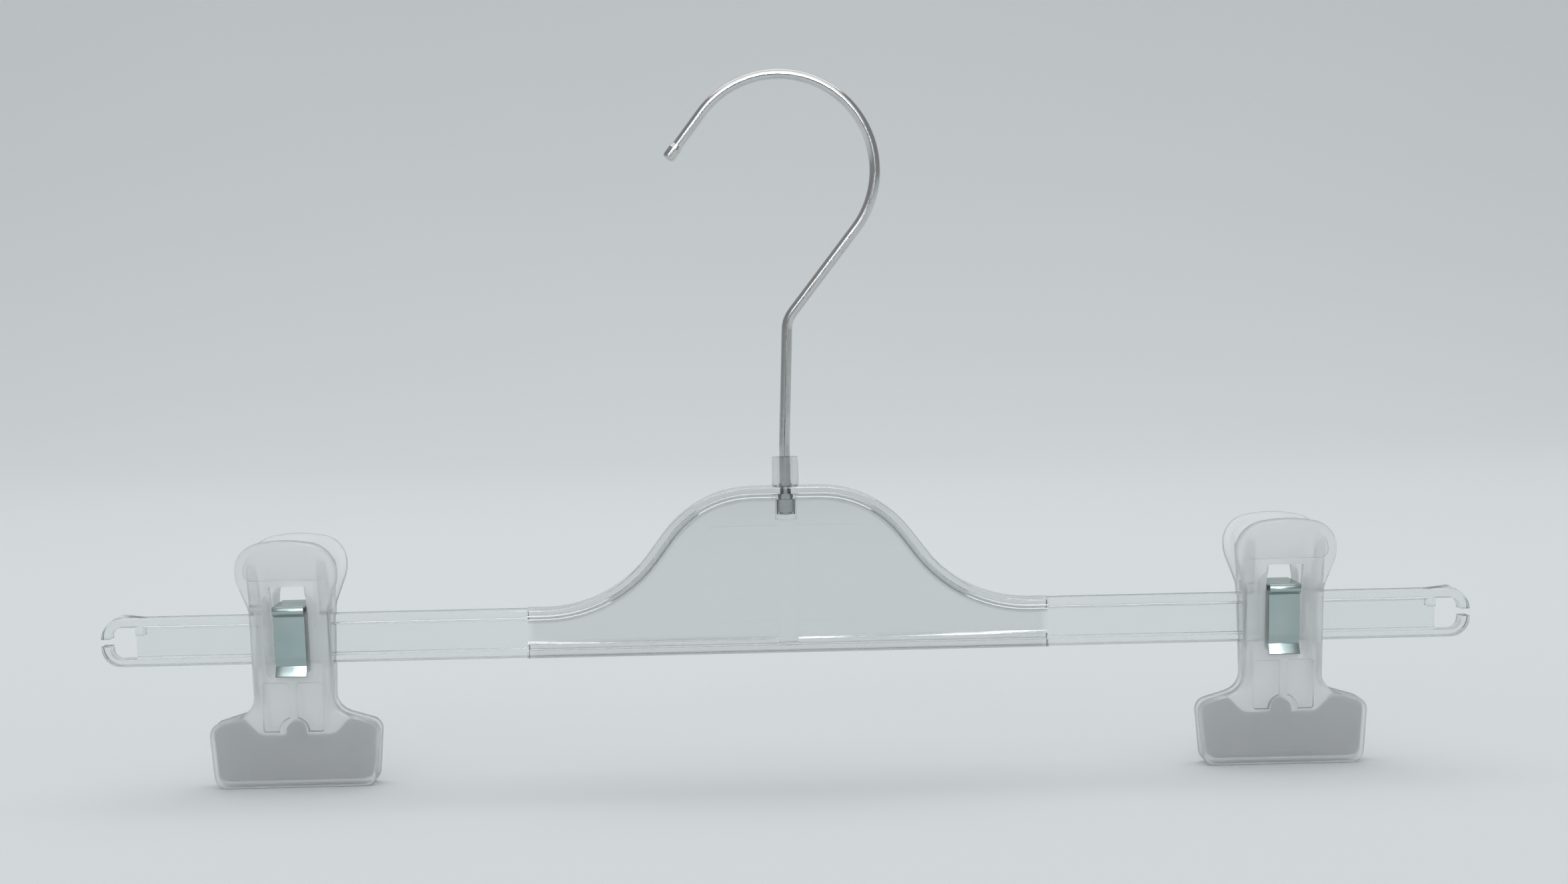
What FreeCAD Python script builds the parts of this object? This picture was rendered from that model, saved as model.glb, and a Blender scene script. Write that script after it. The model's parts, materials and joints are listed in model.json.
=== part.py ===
import FreeCAD, Part
import math
import os

# Skirt hanger with a swivel hook and two sliding pinch clips, in millimetres.
# X runs along the bar, the front is towards -Y, Z is up.
# The origin is the top of the hook's inside, where it hangs on a rail.

# Hook, bent from round wire
wire_d = 2.8
bend_r = 24.8             # bend over the rail, to the wire's centre line
bend_end_deg = 142.5      # where the bend ends, counter-clockwise from +X
tip_run = 10.2            # straight run from the bend to the upset tip
tip_d = 3.4
tip_len = 4.5
tip_taper = 1.2           # length over which the wire swells into the tip
tip_round = 1.0
collar_drop = 73.9        # from the bend's centre down to the collar's top
shank_h = 35.5            # from the collar's top up to the shank's corner
shank_lean_deg = 2.2      # the free shank leans, so that the rail seat is over the swivel
shank_straight = 3.0      # straight wire above the collar
lean_r = 30.0
corner_r = 7.5
head_d = 4.0              # upset head that holds the hook in the bar
head_h = 3.7
head_chamfer = 0.5

# Socket for the hook
collar_h = 7.6
collar_d = 7.0
collar_draft = 0.15       # taken off the collar's radius at its top
collar_flare = 0.3
boss_d = 5.8              # round the hook's head, below the collar
socket_roof = 3.4         # plastic between the bar's top and the hook's head
boss_floor = 1.6          # plastic under the hook's head
swivel_clear = 0.06       # radial, wire in its bore
head_clear = 0.1          # axial, head under its roof
head_side_clear = 0.12

# Bar
bar_len = 356.0
arm_h = 12.6
arm_t = 4.6
arm_web_t = 1.6
arm_top_flange = 2.35
arm_low_flange = 1.9
arm_end_r = 5.2
channel_r = 1.0
channel_root_r = 0.7      # rounding at the channel's floor
hump_top_w = 17.4         # flat top between the hump's shoulders
hump_h = 43.2
hump_t = 7.2
hump_web_t = 1.8
hump_rim = 1.8
hump_low_rim = 2.0
hump_flank_deg = 53.0
hump_foot_share = 1.095   # radius of the foot's curve, as a share of the hump's rise
hump_foot_run = 4.6       # from the foot's curve to the end of the thicker middle
hump_shoulder_share = 0.96
recess_root_share = 0.85  # share of the recess's depth in the rounding at its floor
rib_w = 5.0               # upright rib below the socket
rib_t = 3.4
plate_w = 44.0            # faint raised field on the front of the web
plate_h = 25.0
plate_up = 20.5           # its middle, above the bar's bottom
plate_step = 0.3
plate_r = 4.0
edge_r = 0.45             # moulded edge rounding

# Split arm ends
prong_len = 9.0
prong_t = 2.4
prong_gap = 1.9
prong_r = 2.6
stub_w = 2.0
stub_h = 2.2
barb_h = 0.7              # rise at the end that stops the clip
barb_run = 6.0            # ramp up to the rise
barb_peak = 4.6           # its high point, from the bar's end
barb_fall = 2.6
barb_r = 2.5

# Clip, with heights counted from the middle of the arm
clip_inset = 49.5         # from the bar's end to each clip's middle
mouth_bottom = -38.6
mouth_w = 44.4
mouth_bottom_w = 41.8
mouth_corner_z = -22.2
mouth_corner_r = 3.4
shoulder_z = -18.6        # where the mouth's shoulder meets the neck
shoulder_r = 5.4
neck_w = 20.4
neck_top = 8.0
paddle_w = 26.0
paddle_wide_z = 16.2
paddle_corner_z = 24.9
paddle_top = 26.9
paddle_corner_r = 7.6
paddle_side_r = 8.0
paddle_crown_r = 30.0
jaw_t = 2.4
neck_z = -18.0            # the neck leans out above this height
neck_lean_deg = 7.0
paddle_z = 9.5            # the paddle leans further out above this height
paddle_lean_deg = 14.0
jaw_bend_r = 16.0
jaw_edge_r = 0.8

# Clip pivot: a round bead on one side wall turns in a seat on the facing jaw
wall_t = 2.4
wall_low = -19.0          # the wall fades out to this height
wall_step = -12.0
wall_high = 11.0
wall_fade = 21.0
mid_gap = 0.2             # from the middle plane to a side wall
pivot_up = 1.9            # pivot above the arm's top
bead_r = 1.4
bead_clear = 0.06
open_deg = 15.0           # each jaw's swing
open_relief_deg = 2.5
bar_clear = 0.4
bar_low_clear = 0.7

# Spring pocket, window and mouldings on a jaw's face
window_w = 9.1
window_low = 7.4
window_high = 14.4
pocket_low = -10.6
pocket_high = 12.4
pocket_floor_w = 9.6
pocket_depth = 1.3
pocket_flare = 1.4        # sideways run of the pocket's wall for each unit of depth
pocket_r = 1.2
panel_half_w = 7.9
panel_low = -24.0
panel_high = -10.9
panel_depth = 0.9         # at the foot
panel_top_depth = 0.35
panel_root_r = 0.4
panel_r = 0.8
centre_rib_w = 1.8
arch_r = 3.7
dish_rim = 2.3
dish_low = 16.0
dish_depth = 0.7
dish_corner_r = 2.0

# Grip pads
pad_t = 1.8
pad_gap = 0.15            # from the middle plane to a pad's face
pad_inlay = 0.5           # depth of the pad's seat in the jaw
pad_margin = 1.1
pad_top_margin = 0.6
pad_low_margin = 2.0
pad_side_clear = 0.1
pad_glue = 0.08           # film between a pad and its seat
pad_edge_r = 0.4
pad_dip_z = -25.6
pad_dip_half_w = 9.8
pad_peak_x = 14.0
pad_peak_z = -21.0
pad_tab_w = 4.4
pad_tab_top = -21.7
pad_corner_r = 2.4
pad_peak_r = 2.0
pad_dip_r = 3.0
pad_tab_foot_r = 0.5
tab_roundness = 0.98      # share of the tab's half width that its corners take

# Spring
spring_w = 8.0
spring_t = 0.6
spring_bridge_z = 8.9
spring_fold_r = 0.9
spring_fold_stand = 1.4   # clear of the pocket's floor at the fold
spring_roll_z = 7.5       # where the fold turns back under itself
spring_roll_r = 0.6
spring_brow_z = 6.5       # where it runs into the flat arm
spring_brow_stand = 0.25
spring_brow_r = 0.6
spring_touch = 0.1        # clear of the pocket's floor at the groove
spring_knee_z = -4.2
spring_knee_stand = 0.6
spring_knee_r = 3.0
spring_groove_z = -6.7
spring_lip_z = -9.3
spring_lip_out = 1.5
spring_bend_r = 0.8

# Heights and places that follow from the sizes above
bend_z = wire_d / 2 - bend_r
collar_z = bend_z - collar_drop
bar_top = collar_z - collar_h
bar_low = bar_top - hump_h
arm_top = bar_low + arm_h
arm_mid = bar_low + arm_h / 2
head_top = bar_top - socket_roof - head_clear
head_low = head_top - head_h
hump_rise = hump_h - arm_h
hump_foot_r = hump_foot_share * hump_rise
hump_shoulder_r = hump_shoulder_share * hump_rise
hump_turn = math.tan(math.radians(hump_flank_deg / 2))
hump_shoulder_x = hump_top_w / 2 + hump_shoulder_r * hump_turn
hump_foot_x = hump_shoulder_x + hump_rise / math.tan(math.radians(hump_flank_deg))
hump_end = hump_foot_x + hump_foot_r * hump_turn + hump_foot_run
recess_root_r = recess_root_share * (hump_t - hump_web_t) / 2
clip_x = bar_len / 2 - clip_inset
pivot_z = arm_h / 2 + pivot_up
jaw_in = pad_gap + pad_t - pad_inlay
reach = 2 * bar_len       # longer than any cut


def turn_point(a, b, c, r):
    """Tangent points and middle of an arc of radius r at corner b."""
    ab = (a - b).normalize()
    cb = (c - b).normalize()
    half = ab.getAngle(cb) / 2
    run = r / math.tan(half)
    middle = b + (ab + cb).normalize() * (r / math.sin(half) - r)
    return b + ab * run, middle, b + cb * run


def rounded_edges(points, radii, closed=True):
    """Edges of a polygon or path whose corners are arcs."""
    count = len(points)
    edges = []
    starts = []
    for i, r in enumerate(radii):
        b = points[i]
        if r == 0 or (not closed and i in (0, count - 1)):
            starts.append((b, None, b))
            continue
        starts.append(turn_point(points[i - 1], b, points[(i + 1) % count], r))
    last = count if closed else count - 1
    for i in range(last):
        first, middle, leave = starts[i]
        if middle is not None:
            edges.append(Part.Arc(first, middle, leave).toShape())
        arrive = starts[(i + 1) % count][0]
        if leave.distanceToPoint(arrive) > 1e-6:
            edges.append(Part.LineSegment(leave, arrive).toShape())
    return edges


def xz(points):
    return [FreeCAD.Vector(x, 0, z) for x, z in points]


def yz(points):
    return [FreeCAD.Vector(0, y, z) for y, z in points]


def mirrored(half):
    """A whole outline from its right half, given as (x, z, r) from bottom to top."""
    left = [(-x, z, r) for x, z, r in reversed(half) if x > 0]
    whole = half + left
    return xz([(x, z) for x, z, r in whole]), [r for x, z, r in whole]


def prism(points, radii, y0, y1):
    """A rounded outline in XZ, extruded along Y."""
    face = Part.Face(Part.Wire(rounded_edges(points, radii)))
    face.translate(FreeCAD.Vector(0, y0, 0))
    return face.extrude(FreeCAD.Vector(0, y1 - y0, 0))


def half_prism(half, thickness):
    points, radii = mirrored(half)
    return prism(points, radii, -thickness / 2, thickness / 2)


def slab(points, x0, x1):
    """A polygon in YZ, extruded along X."""
    corners = yz(points)
    face = Part.Face(Part.makePolygon(corners + corners[:1]))
    face.translate(FreeCAD.Vector(x0, 0, 0))
    return face.extrude(FreeCAD.Vector(x1 - x0, 0, 0))


def box(x0, x1, y0, y1, z0, z1):
    return Part.makeBox(x1 - x0, y1 - y0, z1 - z0, FreeCAD.Vector(x0, y0, z0))


def upright(r0, r1, z0, z1):
    """A round piece on the swivel axis, of radius r0 at z0 and r1 at z1."""
    base = FreeCAD.Vector(0, 0, z0)
    if r0 == r1:
        return Part.makeCylinder(r0, z1 - z0, base)
    return Part.makeCone(r0, r1, z1 - z0, base)


def round_rims(solid, r):
    """Rounds the outline edges of an extruded plate, front and back."""
    rims = [e for e in solid.Edges if abs(e.BoundBox.YLength) < 1e-6]
    return solid.makeFillet(r, rims)


def swivel_hook():
    centre = FreeCAD.Vector(0, 0, bend_z)
    corner = FreeCAD.Vector(shank_h * math.tan(math.radians(shank_lean_deg)), 0, collar_z + shank_h)
    to_centre = centre - corner
    toward = math.atan2(to_centre.z, to_centre.x) - math.asin(bend_r / to_centre.Length)
    run = math.sqrt(to_centre.Length ** 2 - bend_r ** 2)
    meet = corner + FreeCAD.Vector(math.cos(toward), 0, math.sin(toward)) * run
    start = math.atan2(meet.z - bend_z, meet.x)
    stop = math.radians(bend_end_deg)

    def on_bend(angle):
        return centre + FreeCAD.Vector(math.cos(angle), 0, math.sin(angle)) * bend_r

    along = FreeCAD.Vector(-math.sin(stop), 0, math.cos(stop))
    leave = on_bend(stop)
    tip = leave + along * tip_run
    shank = [
        FreeCAD.Vector(0, 0, head_low),
        FreeCAD.Vector(0, 0, collar_z + shank_straight),
        corner,
        meet,
    ]
    edges = rounded_edges(shank, [0, lean_r, corner_r, 0], closed=False)
    edges.append(Part.Arc(meet, on_bend((start + stop) / 2), leave).toShape())
    edges.append(Part.LineSegment(leave, tip).toShape())
    section = Part.Wire(Part.makeCircle(wire_d / 2, shank[0]))
    wire = Part.Wire(edges).makePipeShell([section], True, False)
    head = upright(head_d / 2 - head_chamfer, head_d / 2, head_low, head_low + head_chamfer)
    head = head.fuse(upright(head_d / 2, head_d / 2, head_low + head_chamfer, head_top))
    swell = Part.makeCone(wire_d / 2, tip_d / 2, tip_taper, tip, along)
    knob = Part.makeCylinder(tip_d / 2, tip_len - tip_taper, tip + along * tip_taper, along)
    end = tip + along * tip_len
    rim = [e for e in knob.Edges if isinstance(e.Curve, Part.Circle) and e.Curve.Center.isEqual(end, 1e-6)]
    knob = knob.makeFillet(tip_round, rim)
    return wire.fuse([head, swell, knob]).removeSplitter()


def hump_corners(inset, low_inset, end_x):
    """Right half of the bar's outline, drawn in by a margin, from bottom to top."""
    shift = inset * hump_turn
    return [
        (end_x, bar_low + low_inset),
        (end_x, arm_top - inset),
        (hump_foot_x - shift, arm_top - inset),
        (hump_shoulder_x - shift, bar_top - inset),
    ]


def outline(inset, low_inset, end_x, end_r):
    low, high, foot, shoulder = hump_corners(inset, low_inset, end_x)
    return [
        (*low, end_r),
        (*high, end_r),
        (*foot, hump_foot_r + inset),
        (*shoulder, hump_shoulder_r - inset),
    ]


def arm_end(bar):
    """Opens the right-hand end into two prongs with a stop shoulder."""
    tip = bar_len / 2
    web_end = tip - prong_len
    peak_x = tip - barb_peak
    barb_root = arm_top - arm_top_flange / 2
    barb = prism(
        xz([
            (peak_x - barb_run, barb_root),
            (peak_x - barb_run, arm_top),
            (peak_x, arm_top + barb_h),
            (peak_x + barb_fall, barb_root),
        ]),
        [0, 0, barb_r, 0],
        -arm_t / 2 + edge_r,
        arm_t / 2 - edge_r,
    )
    opening = prism(
        xz([
            (web_end, bar_low + arm_low_flange),
            (tip - prong_t, bar_low + arm_low_flange),
            (tip - prong_t, arm_top - arm_top_flange),
            (web_end, arm_top - arm_top_flange),
        ]),
        [0, prong_r, prong_r, 0],
        -arm_t,
        arm_t,
    )
    slit = box(web_end, tip + prong_t, -arm_t, arm_t, arm_mid - prong_gap / 2, arm_mid + prong_gap / 2)
    stub = box(
        web_end - stub_w, web_end, -arm_t / 2, arm_t / 2,
        arm_top - arm_top_flange - stub_h, arm_top - arm_top_flange / 2,
    )
    return bar.fuse([barb, stub]).cut(opening).cut(slit)


def mirror_x(shape):
    return shape.mirror(FreeCAD.Vector(0, 0, 0), FreeCAD.Vector(1, 0, 0))


def both_faces(points, radii, full_t, web_t, root_r, x0, x1):
    """Two recesses with rounded floors, between x0 and x1, that leave a web in a plate."""
    front = prism(points, radii, -full_t, -web_t / 2)
    floor = [e for e in front.Edges if e.BoundBox.YMin > -web_t / 2 - 1e-6]
    front = front.makeFillet(root_r, floor)
    front = front.common(box(x0, x1, -full_t, 0, bar_low, bar_top))
    return [front, front.mirror(FreeCAD.Vector(0, 0, 0), FreeCAD.Vector(0, 1, 0))]


def hanger_bar():
    arms = round_rims(half_prism(outline(0, 0, bar_len / 2, arm_end_r), arm_t), edge_r)
    hump = half_prism(outline(0, 0, hump_end, 0), hump_t)
    hump = round_rims(hump, edge_r)
    recess = outline(hump_rim, hump_low_rim, hump_end + 2 * recess_root_r, 0)
    bar = arms.fuse(hump)
    points, radii = mirrored(recess)
    for cut in both_faces(points, radii, hump_t, hump_web_t, recess_root_r, -hump_end, hump_end):
        bar = bar.cut(cut)
    channel_end = bar_len / 2 - prong_len + channel_r
    channel_start = hump_end - 2 * channel_root_r
    channel = xz([
        (channel_start, bar_low + arm_low_flange),
        (channel_end, bar_low + arm_low_flange),
        (channel_end, arm_top - arm_top_flange),
        (channel_start, arm_top - arm_top_flange),
    ])
    radii = [0, channel_r, channel_r, 0]
    for cut in both_faces(channel, radii, arm_t, arm_web_t, channel_root_r, hump_end, channel_end):
        bar = bar.cut(cut).cut(mirror_x(cut))
    bar = mirror_x(arm_end(mirror_x(arm_end(bar))))
    plate_low = bar_low + plate_up - plate_h / 2
    plate = prism(
        xz([
            (-plate_w / 2, plate_low),
            (plate_w / 2, plate_low),
            (plate_w / 2, plate_low + plate_h),
            (-plate_w / 2, plate_low + plate_h),
        ]),
        [plate_r] * 4,
        -hump_web_t / 2 - plate_step,
        0,
    )
    floor_z = head_low - head_clear
    boss = upright(boss_d / 2, boss_d / 2, floor_z - boss_floor, bar_top)
    rib = box(-rib_w / 2, rib_w / 2, -rib_t / 2, rib_t / 2, bar_low, bar_top - hump_rim)
    neck_r = collar_d / 2 - collar_draft
    collar = upright(collar_d / 2, neck_r, bar_top, collar_z)
    flare = upright(collar_d / 2 + collar_flare, neck_r, bar_top, bar_top + collar_flare)
    flare = flare.common(box(-hump_t, hump_t, -hump_t / 2, hump_t / 2, bar_top, collar_z))
    bar = bar.fuse([plate, boss, rib, collar, flare])
    bore_r = wire_d / 2 + swivel_clear
    bore = upright(bore_r, bore_r, head_top, collar_z)
    pocket_r0 = head_d / 2 + head_side_clear
    pocket = upright(pocket_r0, pocket_r0, floor_z, head_top + head_clear)
    return bar.cut(bore.fuse(pocket)).removeSplitter()


def jaw_face(z):
    """Distance of a jaw's inner face from the middle plane at height z."""
    out = jaw_in
    out += max(0, min(z, paddle_z) - neck_z) * math.tan(math.radians(neck_lean_deg))
    out += max(0, z - paddle_z) * math.tan(math.radians(paddle_lean_deg))
    return out


def neck_face(z):
    """The same distance on the neck's plane, also beyond its ends."""
    return jaw_in + (z - neck_z) * math.tan(math.radians(neck_lean_deg))


def jaw_band(inner, outer):
    """Bent layer of a front jaw between two distances from its inner face."""
    heights = [mouth_bottom - jaw_t, neck_z, paddle_z, paddle_top + jaw_t]
    front = [(-jaw_face(z) - outer, z) for z in heights]
    back = [(-jaw_face(z) - inner, z) for z in reversed(heights)]
    edges = rounded_edges(yz(front + back), [0, jaw_bend_r, jaw_bend_r, 0] * 2)
    face = Part.Face(Part.Wire(edges))
    face.translate(FreeCAD.Vector(-mouth_w, 0, 0))
    return face.extrude(FreeCAD.Vector(2 * mouth_w, 0, 0))


def jaw_outline():
    """Right half of the jaw's outline, from bottom to top."""
    return [
        (mouth_bottom_w / 2, mouth_bottom, mouth_corner_r),
        (mouth_w / 2, mouth_corner_z, mouth_corner_r),
        (neck_w / 2, shoulder_z, shoulder_r),
        (neck_w / 2, neck_top, paddle_side_r),
        (paddle_w / 2, paddle_wide_z, paddle_side_r),
        (paddle_w / 2, paddle_corner_z, paddle_corner_r),
        (0, paddle_top, paddle_crown_r),
    ]


def pad_outline(clear):
    """Right half of a pad's outline, let out by a clearance for its seat."""
    margin = pad_margin - clear
    tab = pad_tab_w / 2 + clear
    return [
        (mouth_bottom_w / 2 - margin, mouth_bottom + pad_low_margin - clear, pad_corner_r),
        (mouth_w / 2 - margin, mouth_corner_z - pad_top_margin + clear, pad_corner_r),
        (pad_peak_x, pad_peak_z + clear, pad_peak_r),
        (pad_dip_half_w - clear, pad_dip_z + clear, pad_dip_r),
        (tab, pad_dip_z + clear, pad_tab_foot_r),
        (tab, pad_tab_top + clear, tab * tab_roundness),
    ]


def pocket_ring(rise):
    """Rounded outline of the spring pocket, at a height above its floor."""
    lean = math.radians(neck_lean_deg)
    up = FreeCAD.Vector(0, -math.sin(lean), math.cos(lean))
    out = FreeCAD.Vector(0, -math.cos(lean), -math.sin(lean))
    base = FreeCAD.Vector(0, -neck_face(0) - jaw_t, 0) + out * (rise - pocket_depth)
    spread = (rise - pocket_depth) * pocket_flare
    half = pocket_floor_w / 2 + rise * pocket_flare
    low = pocket_low / math.cos(lean) - spread
    high = pocket_high / math.cos(lean) + spread
    corners = [(-half, low), (half, low), (half, high), (-half, high)]
    points = [base + FreeCAD.Vector(x, 0, 0) + up * u for x, u in corners]
    return Part.Wire(rounded_edges(points, [pocket_r + rise * pocket_flare] * 4))


def side_wall(x0):
    """Wall behind one edge of the neck, notched for the bar."""
    relief = math.tan(math.radians(open_deg + open_relief_deg))
    top_gap = mid_gap + (wall_high - pivot_z) * relief
    inner = [
        (-jaw_face(wall_low), wall_low),
        (-mid_gap, wall_step),
        (-mid_gap, pivot_z),
        (-top_gap, wall_high),
        (-jaw_face(wall_fade), wall_fade),
    ]
    outer = [(-jaw_face(z) - jaw_t / 2, z) for z in (wall_fade, paddle_z, wall_low)]
    wall = slab(inner + outer, x0, x0 + wall_t)
    notch_low = -arm_h / 2 - bar_low_clear
    notch_high = arm_h / 2 + bar_clear
    notch = box(x0, x0 + wall_t, -arm_t / 2 - bar_clear, arm_t, notch_low, notch_high)
    return wall.cut(notch)


def pivot_round(r, x0):
    return Part.makeCylinder(r, wall_t, FreeCAD.Vector(x0, 0, pivot_z), FreeCAD.Vector(1, 0, 0))


def face_panels():
    """Sunk panels either side of the centre rib, ending at the arch round the pad's tab."""
    corners = [
        (centre_rib_w / 2, panel_low),
        (panel_half_w, panel_low),
        (panel_half_w, panel_high),
        (centre_rib_w / 2, panel_high),
    ]
    right = prism(xz(corners), [panel_r] * 4, -reach, 0)
    tab_centre = FreeCAD.Vector(0, -reach, pad_tab_top - pad_tab_w / 2)
    arch = Part.makeCylinder(arch_r, reach, tab_centre, FreeCAD.Vector(0, 1, 0))
    foot = -jaw_face(panel_low) - jaw_t + panel_depth
    head = -jaw_face(panel_high) - jaw_t + panel_top_depth
    rise = (head - foot) / (panel_high - panel_low)
    over = head - 2 * jaw_t
    wedge = slab(
        [(foot, panel_low), (head, panel_high), (over, panel_high), (over, panel_low)],
        -panel_half_w, panel_half_w,
    )
    right = right.cut(arch).common(wedge)

    def on_floor(edge):
        return all(abs(foot + (v.Z - panel_low) * rise - v.Y) < 1e-4 for v in edge.Vertexes)

    right = right.makeFillet(panel_root_r, [e for e in right.Edges if on_floor(e)])
    return [right, mirror_x(right)]


def paddle_dish():
    """Thumb dish inside the paddle's rim."""
    half = [
        (paddle_w / 2 - dish_rim, dish_low, dish_corner_r),
        (paddle_w / 2 - dish_rim, paddle_corner_z - dish_rim, paddle_corner_r - dish_rim),
        (0, paddle_top - dish_rim, paddle_crown_r),
    ]
    points, radii = mirrored(half)
    return prism(points, radii, -reach, 0).common(jaw_band(jaw_t - dish_depth, jaw_t + dish_depth))


def outer_rim(plate):
    """Outline edges on a jaw's outer face, without its two bend lines."""
    rim = []
    for edge in plate.Edges:
        middle = edge.valueAt((edge.FirstParameter + edge.LastParameter) / 2)
        on_face = abs(middle.y + jaw_face(middle.z) + jaw_t) < jaw_t / 10
        bend = abs(middle.x) < 1e-4 and mouth_bottom < middle.z < paddle_corner_z
        if on_face and not bend:
            rim.append(edge)
    return rim


def front_jaw():
    points, radii = mirrored(jaw_outline())
    jaw = prism(points, radii, -reach, reach).common(jaw_band(0, jaw_t))
    jaw = jaw.makeFillet(jaw_edge_r, outer_rim(jaw))
    left_x = -neck_w / 2
    right_x = neck_w / 2 - wall_t
    jaw = jaw.fuse([side_wall(left_x), side_wall(right_x), pivot_round(bead_r, left_x)])
    pocket = Part.makeLoft([pocket_ring(0), pocket_ring(2 * jaw_t)], True, True)
    window = box(-window_w / 2, window_w / 2, -reach, 0, window_low, window_high)
    points, radii = mirrored(pad_outline(pad_side_clear))
    seat = prism(points, radii, -jaw_in - pad_inlay - pad_glue, 0)
    cuts = [pivot_round(bead_r + bead_clear, right_x), pocket, window, seat, paddle_dish()]
    for cut in cuts + face_panels():
        jaw = jaw.cut(cut)
    return jaw.removeSplitter()


def grip_pad():
    points, radii = mirrored(pad_outline(0))
    pad = prism(points, radii, -pad_gap - pad_t, -pad_gap)
    return pad.makeFillet(pad_edge_r, [e for e in pad.Edges if e.BoundBox.YMin > -pad_gap - 1e-6])


def clip_spring():
    """Strip over the bar, with an arm down each jaw's pocket and an outward lip."""
    floor = jaw_t - pocket_depth / math.cos(math.radians(neck_lean_deg)) + spring_t / 2
    groove = neck_face(spring_groove_z) + floor + spring_touch
    fold = neck_face(spring_bridge_z) + floor + spring_fold_stand
    half = [
        (groove + spring_lip_out, spring_lip_z, 0),
        (groove, spring_groove_z, spring_bend_r),
        (neck_face(spring_knee_z) + floor + spring_knee_stand, spring_knee_z, spring_knee_r),
        (neck_face(spring_brow_z) + floor + spring_brow_stand, spring_brow_z, spring_brow_r),
        (fold, spring_roll_z, spring_roll_r),
        (fold, spring_bridge_z, spring_fold_r),
    ]
    whole = [(-out, z, r) for out, z, r in half] + list(reversed(half))
    points = yz([(y, z) for y, z, r in whole])
    path = Part.Wire(rounded_edges(points, [r for y, z, r in whole], closed=False))
    start = points[0]
    along = (points[1] - start).normalize()
    across = FreeCAD.Vector(1, 0, 0) * (spring_w / 2)
    through = along.cross(FreeCAD.Vector(1, 0, 0)) * (spring_t / 2)
    turns = ((1, 1), (-1, 1), (-1, -1), (1, -1), (1, 1))
    section = Part.makePolygon([start + across * a + through * t for a, t in turns])
    return path.makePipeShell([section], True, False)


def placed(shape, side, rear):
    """A copy of a clip piece at its clip, turned about if it is a rear one."""
    piece = shape.copy()
    if rear:
        piece.rotate(FreeCAD.Vector(0, 0, 0), FreeCAD.Vector(0, 0, 1), 180)
    piece.translate(FreeCAD.Vector(side * clip_x, 0, arm_mid))
    return piece


def main():
    os.makedirs("parts", exist_ok=True)
    jaw = front_jaw()
    pad = grip_pad()
    spring = clip_spring()
    nodes = {"swivel_hook": swivel_hook(), "hanger_bar": hanger_bar()}
    for side_name, side in (("left", -1), ("right", 1)):
        nodes[side_name + "_spring"] = placed(spring, side, False)
        for end_name, rear in (("front", False), ("rear", True)):
            nodes[side_name + "_" + end_name + "_jaw"] = placed(jaw, side, rear)
            nodes[side_name + "_" + end_name + "_pad"] = placed(pad, side, rear)
    for name, shape in nodes.items():
        shape.exportStep("parts/" + name + ".step")
        print(name, shape.isValid(), len(shape.Solids), round(shape.Volume, 1))


main()
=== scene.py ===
import json
import math

import bmesh
import bpy
from mathutils import Matrix, Vector


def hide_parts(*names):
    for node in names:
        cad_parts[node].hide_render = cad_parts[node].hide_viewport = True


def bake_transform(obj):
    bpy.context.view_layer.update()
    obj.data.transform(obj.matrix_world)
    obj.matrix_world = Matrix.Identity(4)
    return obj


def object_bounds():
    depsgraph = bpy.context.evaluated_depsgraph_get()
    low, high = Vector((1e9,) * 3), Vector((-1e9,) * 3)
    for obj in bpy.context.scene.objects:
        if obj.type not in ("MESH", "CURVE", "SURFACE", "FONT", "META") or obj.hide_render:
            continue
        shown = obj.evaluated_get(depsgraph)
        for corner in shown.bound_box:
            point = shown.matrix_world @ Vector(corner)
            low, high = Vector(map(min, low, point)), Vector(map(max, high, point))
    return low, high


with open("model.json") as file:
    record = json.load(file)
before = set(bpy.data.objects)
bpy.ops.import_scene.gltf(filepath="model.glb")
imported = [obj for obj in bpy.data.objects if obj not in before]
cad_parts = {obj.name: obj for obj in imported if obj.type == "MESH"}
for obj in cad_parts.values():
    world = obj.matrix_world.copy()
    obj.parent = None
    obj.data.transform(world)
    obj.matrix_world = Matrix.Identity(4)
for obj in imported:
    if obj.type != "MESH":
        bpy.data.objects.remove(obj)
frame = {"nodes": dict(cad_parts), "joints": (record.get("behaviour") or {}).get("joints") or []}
cadLow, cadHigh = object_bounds()
nodes = frame["nodes"]
scene = bpy.context.scene
mm = 0.001
touching = 1e-6  # nearer than this, in metres, counts as the same place
print("frame loaded:", len(nodes), "nodes")


# Shader maths: a wrapped socket that takes part in Python expressions
class Signal:
    def __init__(self, tree, socket=None):
        self.tree = tree
        self.socket = socket

    def node(self, kind, settings=None, sockets=None, out=0):
        made = self.tree.nodes.new(kind)
        for key, value in (settings or {}).items():
            setattr(made, key, value)
        for key, value in (sockets or {}).items():
            if isinstance(value, Signal):
                self.tree.links.new(value.socket, made.inputs[key])
            else:
                made.inputs[key].default_value = value
        return Signal(self.tree, made.outputs[out] if made.outputs else None)

    def sum(self, operation, first, second):
        return self.node("ShaderNodeMath", {"operation": operation}, {0: first, 1: second})

    def __add__(self, other):
        return self.sum("ADD", self, other)

    def __radd__(self, other):
        return self.sum("ADD", other, self)

    def __sub__(self, other):
        return self.sum("SUBTRACT", self, other)

    def __rsub__(self, other):
        return self.sum("SUBTRACT", other, self)

    def __mul__(self, other):
        return self.sum("MULTIPLY", self, other)

    def __rmul__(self, other):
        return self.sum("MULTIPLY", other, self)


def newMaterial(name):
    material = bpy.data.materials.new(name)
    material.use_nodes = True
    material.node_tree.nodes.clear()
    return material, Signal(material.node_tree)


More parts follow.
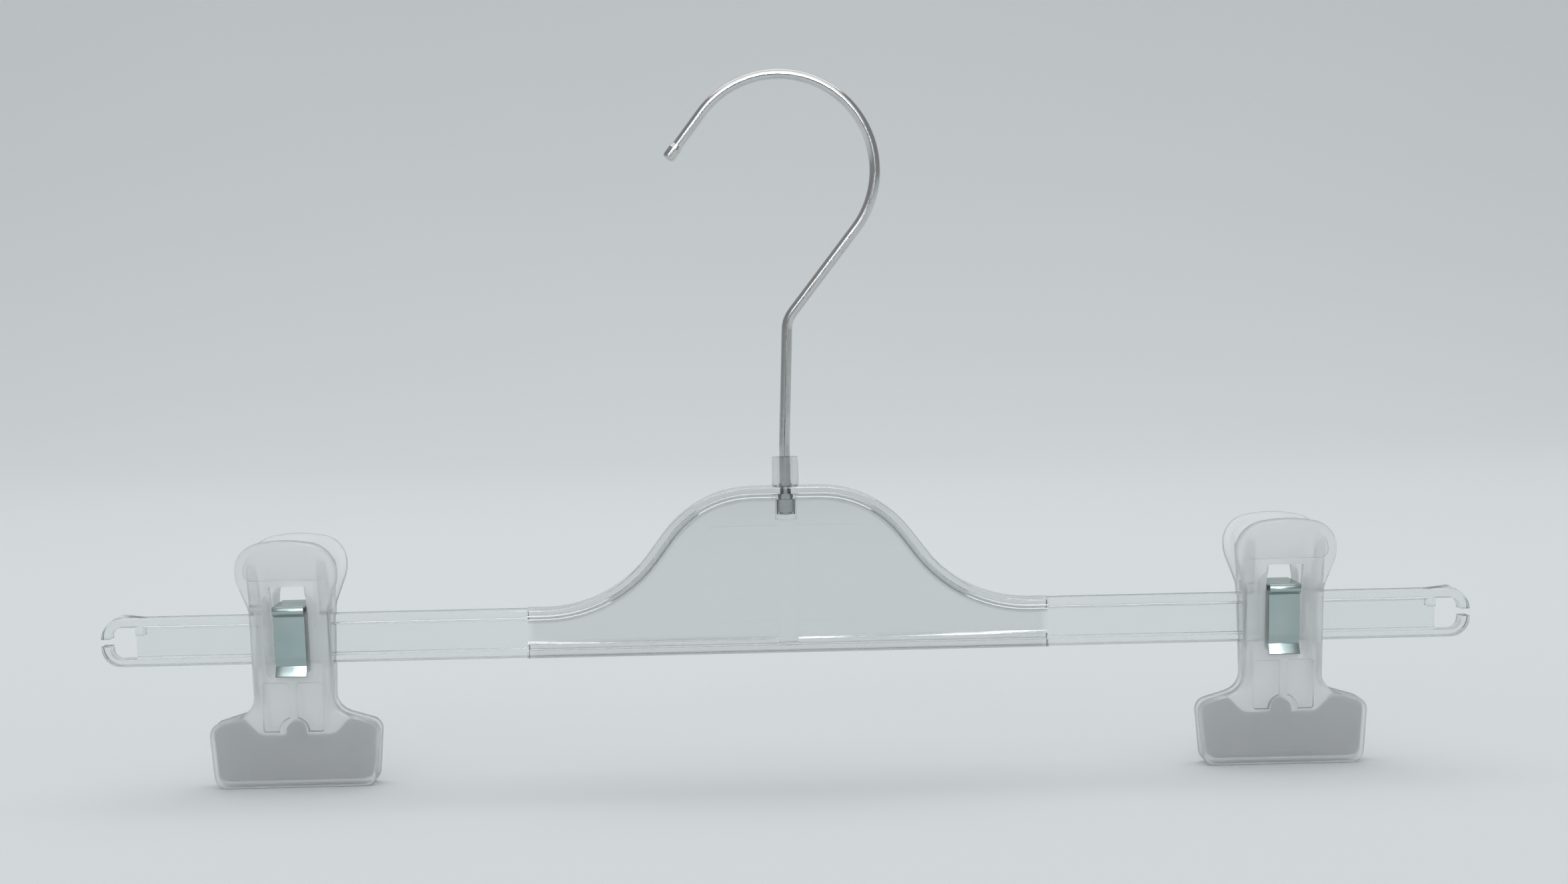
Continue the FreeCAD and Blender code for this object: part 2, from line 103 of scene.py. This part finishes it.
# A pattern is a noise's scale along X, Y and Z per metre, its detail and its roughness
def noiseOn(start, pattern):
    scale, detail, rough = pattern
    coords = start.node("ShaderNodeTexCoord", out="Object")
    spot = start.node("ShaderNodeMapping", None, {"Vector": coords, "Scale": scale})
    return start.node(
        "ShaderNodeTexNoise", None,
        {"Vector": spot, "Scale": 1.0, "Detail": detail, "Roughness": rough},
    )


def sidewaysOn(start):
    coords = start.node("ShaderNodeTexCoord", out="Object")
    across = start.node("ShaderNodeSeparateXYZ", None, {"Vector": coords}, out="X")
    return start.node("ShaderNodeMath", {"operation": "ABSOLUTE"}, {0: across})


def blendColour(start, mask, first, second):
    # on a Mix node for colours, 0 is the factor, 6 and 7 take the colours and 2 gives the result
    return start.node(
        "ShaderNodeMix", {"data_type": "RGBA"}, {0: mask, 6: first, 7: second}, out=2,
    )


def bumpFrom(start, strength, depth, height):
    return start.node(
        "ShaderNodeBump", None, {"Strength": strength, "Distance": depth, "Height": height},
    )


def finishSurface(start, sockets):
    surface = start.node("ShaderNodeBsdfPrincipled", None, sockets)
    start.node("ShaderNodeOutputMaterial", None, {"Surface": surface})


# Clear moulded plastic: flow ripples in the bump, faint cloudiness in the tint and gloss
barPlastic = {
    "pale": (0.92, 0.94, 0.94, 1), "cool": (0.89, 0.915, 0.92, 1),
    "middle": (0.80, 0.82, 0.82, 1), "middleReach": 0.0668, "middleFade": 0.001,
    "smooth": 0.05, "hazeSpread": 0.04, "clear": 0.95, "bend": 1.46,
    "ripple": 0.012, "flow": ((60, 60, 110), 2.0, 0.45), "grainShare": 0.01,
}
clipPlastic = {
    "pale": (0.985, 0.995, 0.995, 1), "cool": (0.965, 0.982, 0.985, 1),
    "smooth": 0.29, "hazeSpread": 0.12, "clear": 0.85, "bend": 1.46,
    "ripple": 0.15, "flow": ((140, 140, 140), 2.0, 0.45), "grainShare": 0.05,
}
mouldMarks = {
    "cloud": ((35, 35, 35), 4.0, 0.55), "grain": ((900, 900, 900), 2.0, 0.6), "depth": 0.0006,
}


def clearPlastic(name, look):
    material, start = newMaterial(name)
    cloud = noiseOn(start, mouldMarks["cloud"])
    grain = noiseOn(start, mouldMarks["grain"])
    flow = noiseOn(start, look["flow"])
    tint = blendColour(start, cloud, look["pale"], look["cool"])
    if "middle" in look:  # the broad centre is tinted a little darker than the arms
        reach, fade = look["middleReach"], look["middleFade"]
        inside = start.node("ShaderNodeMapRange", None, {
            "Value": sidewaysOn(start), "From Min": reach - fade, "From Max": reach + fade,
            "To Min": 1.0, "To Max": 0.0,
        })
        tint = blendColour(start, inside, tint, look["middle"])
    ripples = flow + grain * look["grainShare"]
    finishSurface(start, {
        "Base Color": tint,
        "Roughness": look["smooth"] + cloud * look["hazeSpread"],
        "Transmission Weight": look["clear"],
        "IOR": look["bend"],
        "Normal": bumpFrom(start, look["ripple"], mouldMarks["depth"], ripples),
    })
    return material


# Zinc-plated drawn wire: bright, with fine die lines and small dull patches
wireFinish = {
    "bright": (0.72, 0.73, 0.73, 1), "dull": (0.54, 0.55, 0.55, 1),
    "polish": 0.08, "patchSpread": 0.16, "bump": 0.08, "depth": 0.0002,
    "patches": ((260, 260, 260), 5.0, 0.6), "dieLines": ((2600, 2600, 240), 2.0, 0.5),
}


def zincWire():
    material, start = newMaterial("zinc_wire_plated")
    patches = noiseOn(start, wireFinish["patches"])
    lines = noiseOn(start, wireFinish["dieLines"])
    finishSurface(start, {
        "Base Color": blendColour(start, patches, wireFinish["bright"], wireFinish["dull"]),
        "Metallic": 1.0,
        "Roughness": wireFinish["polish"] + patches * wireFinish["patchSpread"],
        "Normal": bumpFrom(start, wireFinish["bump"], wireFinish["depth"], lines + patches),
    })
    return material


# Rolled spring strip: rolling lines along its width and a faint blue temper tint
stripFinish = {
    "plain": (0.47, 0.52, 0.515, 1), "temper": (0.33, 0.45, 0.455, 1),
    "polish": 0.16, "lineSpread": 0.14, "bump": 0.06, "depth": 0.0002,
    "temperPatches": ((90, 160, 160), 2.0, 0.5), "rollLines": ((120, 1800, 1800), 3.0, 0.6),
}


def rolledStrip():
    material, start = newMaterial("spring_strip_rolled")
    temper = noiseOn(start, stripFinish["temperPatches"])
    lines = noiseOn(start, stripFinish["rollLines"])
    finishSurface(start, {
        "Base Color": blendColour(start, temper, stripFinish["plain"], stripFinish["temper"]),
        "Metallic": 1.0,
        "Roughness": stripFinish["polish"] + lines * stripFinish["lineSpread"],
        "Normal": bumpFrom(start, stripFinish["bump"], stripFinish["depth"], lines),
    })
    return material


# Soft vinyl pad: matt grey with a fine moulded grain
padFinish = {
    "grey": (0.45, 0.47, 0.485, 1), "worn": (0.505, 0.52, 0.53, 1),
    "matt": 0.55, "mattSpread": 0.2, "bump": 0.15, "depth": 0.0002,
    "mottle": ((130, 130, 130), 4.0, 0.6), "grain": ((2400, 2400, 2400), 2.0, 0.5),
}


def softVinyl():
    material, start = newMaterial("grip_pad_vinyl")
    mottle = noiseOn(start, padFinish["mottle"])
    grain = noiseOn(start, padFinish["grain"])
    finishSurface(start, {
        "Base Color": blendColour(start, mottle, padFinish["grey"], padFinish["worn"]),
        "Roughness": padFinish["matt"] + mottle * padFinish["mattSpread"],
        "Normal": bumpFrom(start, padFinish["bump"], padFinish["depth"], grain),
    })
    return material


def dress(piece, material):
    piece.data.materials.clear()
    piece.data.materials.append(material)
    for polygon in piece.data.polygons:
        polygon.material_index = 0


# A ribbon of faces along a line of points, spread to +X
def ribbon(work, points, width):
    line = [work.verts.new(point) for point in points]
    runs = [work.edges.new(pair) for pair in zip(line, line[1:])]
    made = bmesh.ops.extrude_edge_only(work, edges=runs)["geom"]
    far = [v for v in made if isinstance(v, bmesh.types.BMVert)]
    bmesh.ops.translate(work, verts=far, vec=(width, 0, 0))


# The edges that run along X through one place in Y and Z
def edgesThrough(work, place):
    return [e for e in work.edges if all((v.co.yz - place).length < touching for v in e.verts)]


def roundOff(work, edges, offset, segments):
    bmesh.ops.bevel(
        work, geom=edges, offset=offset, offset_type="OFFSET", affect="EDGES",
        segments=segments, profile=0.5, material=-1,
    )


def pieceFrom(work, name, smooth):
    mesh = bpy.data.meshes.new(name)
    work.to_mesh(mesh)
    work.free()
    for polygon in mesh.polygons:
        polygon.use_smooth = smooth
    piece = bpy.data.objects.new(name, mesh)
    scene.collection.objects.link(piece)
    return piece


# Spring strip in two halves that meet over the bar
stripSpring = {
    "width": 8.0, "thick": 0.6, "edgeRound": 0.12, "edgeSteps": 2, "bendSteps": 8,
    # bends from the fold to the groove: out from the middle, up from the pivot, radius, in mm
    "bends": [
        (7.54, 0.7, 0.9), (7.54, -0.7, 0.6), (6.1, -1.7, 0.6), (5.13, -12.4, 3.0),
        (4.33, -14.9, 0.8),
    ],
    "lip": (5.83, -17.5), "flexFrom": 0.7, "flexTo": -5.0,
    "longRun": 3.0, "armCuts": 10,  # straight runs past this length are cut so that they can flex
    "rimDeg": 60, "creaseDeg": 40,
}


def springHalf(name, clipX, pivotZ, facing):
    bends = stripSpring["bends"]
    thick = stripSpring["thick"] * mm
    sideX = clipX - stripSpring["width"] / 2 * mm
    path = [(0.0, bends[0][1])] + [bend[:2] for bend in bends] + [stripSpring["lip"]]
    spots = [Vector((sideX, facing * out * mm, pivotZ + up * mm)) for out, up in path]
    work = bmesh.new()
    ribbon(work, spots, stripSpring["width"] * mm)
    bmesh.ops.recalc_face_normals(work, faces=work.faces[:])
    for before, spot, after, bend in zip(spots, spots[1:], spots[2:], bends):
        turn = (spot - before).angle(after - spot)
        setback = bend[2] * mm * math.tan(turn / 2)
        roundOff(work, edgesThrough(work, spot.yz), setback, stripSpring["bendSteps"])
    longRuns = [
        e for e in work.edges
        if abs(e.verts[0].co.x - e.verts[1].co.x) < touching
        and e.calc_length() > stripSpring["longRun"] * mm
    ]
    bmesh.ops.subdivide_edges(
        work, edges=longRuns, cuts=stripSpring["armCuts"], use_grid_fill=True,
    )
    for v in work.verts:
        v.co -= v.normal * thick / 2
    bmesh.ops.solidify(work, geom=work.faces[:], thickness=-thick)
    bmesh.ops.recalc_face_normals(work, faces=work.faces[:])
    rimAngle = math.radians(stripSpring["rimDeg"])
    rims = [e for e in work.edges if e.is_manifold and e.calc_face_angle() > rimAngle]
    roundOff(work, rims, stripSpring["edgeRound"] * mm, stripSpring["edgeSteps"])
    piece = pieceFrom(work, name, True)
    piece.data.set_sharp_from_angle(angle=math.radians(stripSpring["creaseDeg"]))
    return piece


def clipSprings(material):
    hinges = {joint["name"]: joint for joint in frame["joints"]}
    for side in ("left", "right"):
        for end, facing in (("front", -1), ("rear", 1)):
            pivot = hinges[f"{side}_{end}_pinch"]["pos_m"]
            clipX, pivotZ = pivot[0], pivot[2]
            piece = springHalf(f"{side}_spring_{end}_half", clipX, pivotZ, facing)
            dress(piece, material)
            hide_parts(f"{side}_spring")
            pivotZ + stripSpring["flexFrom"] * mm
            pivotZ + stripSpring["flexTo"] * mm
            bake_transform(piece)


barClear = clearPlastic("clear_bar_moulded", barPlastic)
clipClear = clearPlastic("clear_clip_moulded", clipPlastic)
wireZinc = zincWire()
stripSteel = rolledStrip()
padVinyl = softVinyl()
for nodeName, node in nodes.items():
    if nodeName.endswith("_jaw"):
        dress(node, clipClear)
    elif nodeName.endswith("_pad"):
        dress(node, padVinyl)
    elif nodeName.endswith("_spring"):
        dress(node, stripSteel)
dress(nodes["hanger_bar"], barClear)
dress(nodes["swivel_hook"], wireZinc)
print("materials on the frame's nodes")
clipSprings(stripSteel)
print("four spring halves made")


# Studio: a pale seamless sweep, one large lamp above and a low one in front
sweep = {
    "halfWidth": 5.0, "front": -4.0, "curveStart": 1.2, "curveRadius": 2.5, "height": 4.0,
    "curveSteps": 32, "matt": 0.8, "sheen": 0.2, "mottle": ((1.5, 1.5, 1.5), 2.0, 0.5),
    "paper": (0.80, 0.825, 0.83, 1), "paperShade": (0.77, 0.80, 0.805, 1),
}


def paperSweep():
    floorZ = cadLow.z
    wallY = sweep["curveStart"] + sweep["curveRadius"]
    outline = [(sweep["front"], floorZ), (wallY, floorZ), (wallY, floorZ + sweep["height"])]
    work = bmesh.new()
    ribbon(work, [(-sweep["halfWidth"], y, z) for y, z in outline], 2 * sweep["halfWidth"])
    fold = edgesThrough(work, Vector((wallY, floorZ)))
    roundOff(work, fold, sweep["curveRadius"], sweep["curveSteps"])
    bmesh.ops.recalc_face_normals(work, faces=work.faces[:])
    piece = pieceFrom(work, "paper_sweep", True)
    material, start = newMaterial("paper_matt")
    tone = noiseOn(start, sweep["mottle"])
    finishSurface(start, {
        "Base Color": blendColour(start, tone, sweep["paper"], sweep["paperShade"]),
        "Roughness": sweep["matt"],
        "Specular IOR Level": sweep["sheen"],
    })
    dress(piece, material)


lamps = {
    "above": {"place": (0.0, 0.55, 1.35), "aim": (0, 0.55, -0.18), "size": (2.2, 1.6), "power": 10},
    "front": {"place": (-0.4, -1.9, 0.75), "aim": (0, 0, -0.15), "size": (1.4, 0.7), "power": 3},
}
# These light nothing but show in gloss: a ceiling panel, and three tall panes in front
# whose streaks lie along the bar's lower rim
barSpot = (0, 0, -0.13)
glints = {
    "panel": {"place": (0.0, -0.9, 0.9), "aim": barSpot, "size": (1.6, 1.3), "power": 6.0},
    "paneLeft": {
        "place": (-0.22, -1.7, 0.63), "aim": barSpot, "size": (0.045, 1.3), "power": 2.8,
    },
    "paneMiddle": {
        "place": (0.062, -1.7, 0.63), "aim": barSpot, "size": (0.045, 1.3), "power": 3.9,
    },
    "paneRight": {
        "place": (0.232, -1.7, 0.63), "aim": barSpot, "size": (0.08, 1.3), "power": 7.0,
    },
}


def hangLamp(name, lamp):
    data = bpy.data.lights.new(name + "_lamp", "AREA")
    data.shape = "RECTANGLE"
    data.size, data.size_y = lamp["size"]
    data.energy = lamp["power"]
    piece = bpy.data.objects.new(name + "_lamp", data)
    piece.location = lamp["place"]
    toward = Vector(lamp["aim"]) - Vector(lamp["place"])
    piece.rotation_euler = toward.to_track_quat("-Z", "Y").to_euler()
    scene.collection.objects.link(piece)
    return piece


# A dark card in front, which shows in gloss alone and draws the dark line along the wire
darkCard = {
    "halfWidth": 0.13, "away": -0.75, "height": 0.28,
    "black": (0.025, 0.025, 0.027, 1), "faded": (0.04, 0.04, 0.042, 1),
    "matt": 0.9, "mottle": ((9, 9, 9), 2.0, 0.5),
}


def cameraCard():
    low, high = cadLow.z, cadLow.z + darkCard["height"]
    reach = darkCard["halfWidth"]
    work = bmesh.new()
    corners = [(-reach, low), (reach, low), (reach, high), (-reach, high)]
    work.faces.new([work.verts.new((x, darkCard["away"], z)) for x, z in corners])
    piece = pieceFrom(work, "camera_card", False)
    material, start = newMaterial("card_black")
    tone = noiseOn(start, darkCard["mottle"])
    finishSurface(start, {
        "Base Color": blendColour(start, tone, darkCard["black"], darkCard["faded"]),
        "Roughness": darkCard["matt"],
    })
    dress(piece, material)
    piece.visible_camera = False
    piece.visible_diffuse = False
    piece.visible_transmission = False
    piece.visible_shadow = False


room = {"shade": (0.585, 0.60, 0.61, 1), "dimInGloss": 0.55, "dimInView": 0.21}


def studioLight():
    for name, lamp in lamps.items():
        hangLamp(name, lamp)
    for name, lamp in glints.items():
        piece = hangLamp(name, lamp)
        piece.visible_diffuse = False
        piece.visible_transmission = False
    world = bpy.data.worlds.new("studio_room")
    scene.world = world
    world.use_nodes = True
    world.node_tree.nodes.clear()
    start = Signal(world.node_tree)
    inView = start.node("ShaderNodeLightPath", out="Is Camera Ray")
    inGloss = start.node("ShaderNodeLightPath", out="Is Glossy Ray")
    # a dimmer room in the metal, and beyond the paper's edge the tone of the far paper
    glow = 1.0 - inGloss * room["dimInGloss"] - inView * room["dimInView"]
    backdrop = start.node(
        "ShaderNodeBackground", None, {"Color": room["shade"], "Strength": glow},
    )
    start.node("ShaderNodeOutputWorld", None, {"Surface": backdrop})


# Camera at the photograph's angle, from the picture's focal length in pixels
viewpoint = {
    "place": (-0.0089, -0.6048, -0.0577), "yawDeg": 0.835, "pitchDeg": 3.387, "rollDeg": 1.205,
    "focalPx": 3500, "frameWidthPx": 2351, "sensorMm": 36, "nearest": 0.01,
}


def photoCamera():
    yaw = math.radians(viewpoint["yawDeg"])
    pitch = math.radians(viewpoint["pitchDeg"])
    roll = math.radians(viewpoint["rollDeg"])
    data = bpy.data.cameras.new("photo_camera")
    data.sensor_width = viewpoint["sensorMm"]
    data.lens = viewpoint["focalPx"] / viewpoint["frameWidthPx"] * viewpoint["sensorMm"]
    data.clip_start = viewpoint["nearest"]
    camera = bpy.data.objects.new("photo_camera", data)
    level = Matrix.Rotation(-yaw, 4, "Z") @ Matrix.Rotation(math.pi / 2 - pitch, 4, "X")
    turn = level @ Matrix.Rotation(-roll, 4, "Z")
    camera.matrix_world = Matrix.Translation(viewpoint["place"]) @ turn
    scene.collection.objects.link(camera)
    scene.camera = camera


paperSweep()
cameraCard()
studioLight()
photoCamera()
scene.view_settings.view_transform = "Standard"
lightBounces = 32  # light passes many clear faces before it leaves a clip
scene.cycles.max_bounces = lightBounces
scene.cycles.transmission_bounces = lightBounces
print("studio, lamps and camera set")
